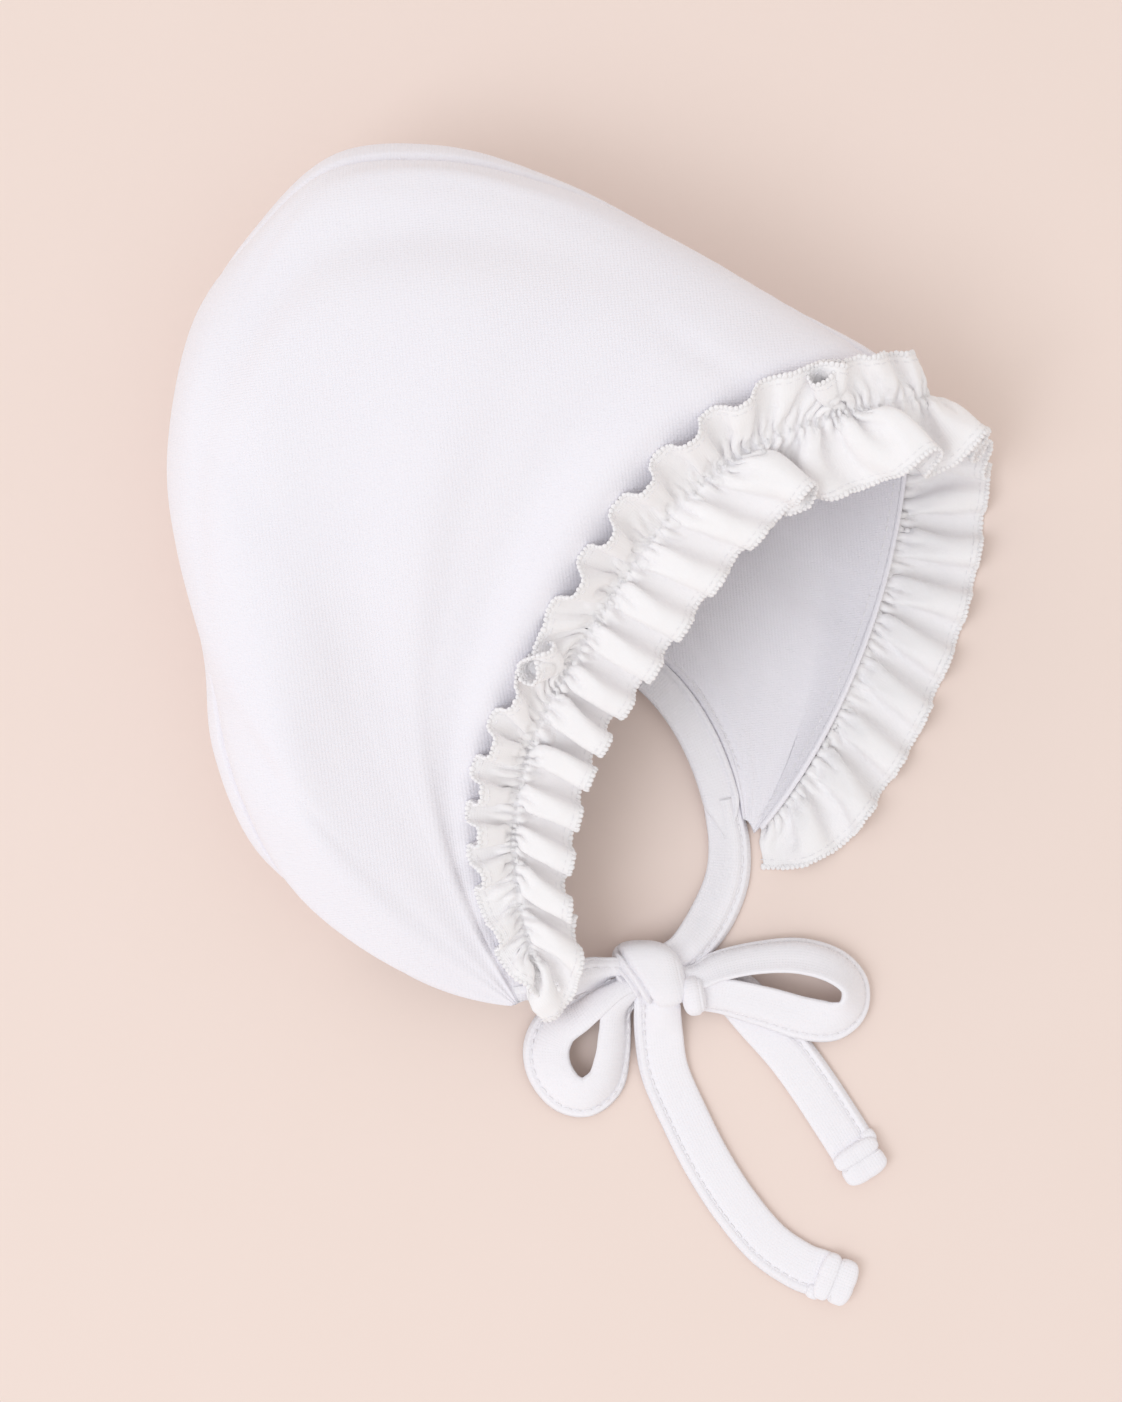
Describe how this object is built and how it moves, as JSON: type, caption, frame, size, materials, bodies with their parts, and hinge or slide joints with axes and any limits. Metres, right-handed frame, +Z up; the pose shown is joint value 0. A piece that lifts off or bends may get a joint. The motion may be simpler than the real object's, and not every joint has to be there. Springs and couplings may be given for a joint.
{
  "type": "ruffled baby bonnet nightcap with ties in a bow, lying on its side",
  "caption": "White cotton jersey nightcap in bonnet form for a baby, with a gathered double ruffle round the face edge and neck ties tied in a bow, lying on its side.",
  "frame": {"origin": "flat patch under the far side panel, on the plane that the cap rests on", "axes": "+Z up from the resting plane, -Y the way the face opening looks, +X towards the crown, -X towards the neck"},
  "size_m": [0.2114, 0.2697, 0.073],
  "materials": {
    "white_jersey": "matt brushed cotton jersey",
    "white_frill_jersey": "thin matt cotton jersey with looped edge stitching",
    "white_jersey_tape": "folded matt cotton jersey"
  },
  "bodies": {
    "root": {"side_panel_upper": "white_jersey", "crown_panel": "white_jersey", "side_panel_lower": "white_jersey", "face_piping": "white_jersey", "ruffle": "white_frill_jersey", "neck_binding": "white_jersey_tape", "tie_upper": "white_jersey_tape", "tie_lower": "white_jersey_tape", "bow_knot": "white_jersey_tape", "bow_loop_left": "white_jersey_tape", "bow_loop_right": "white_jersey_tape", "tie_tail_long": "white_jersey_tape", "tie_tail_short": "white_jersey_tape", "tail_fold_long": "white_jersey_tape", "tail_fold_short": "white_jersey_tape"}
  },
  "joints": []
}
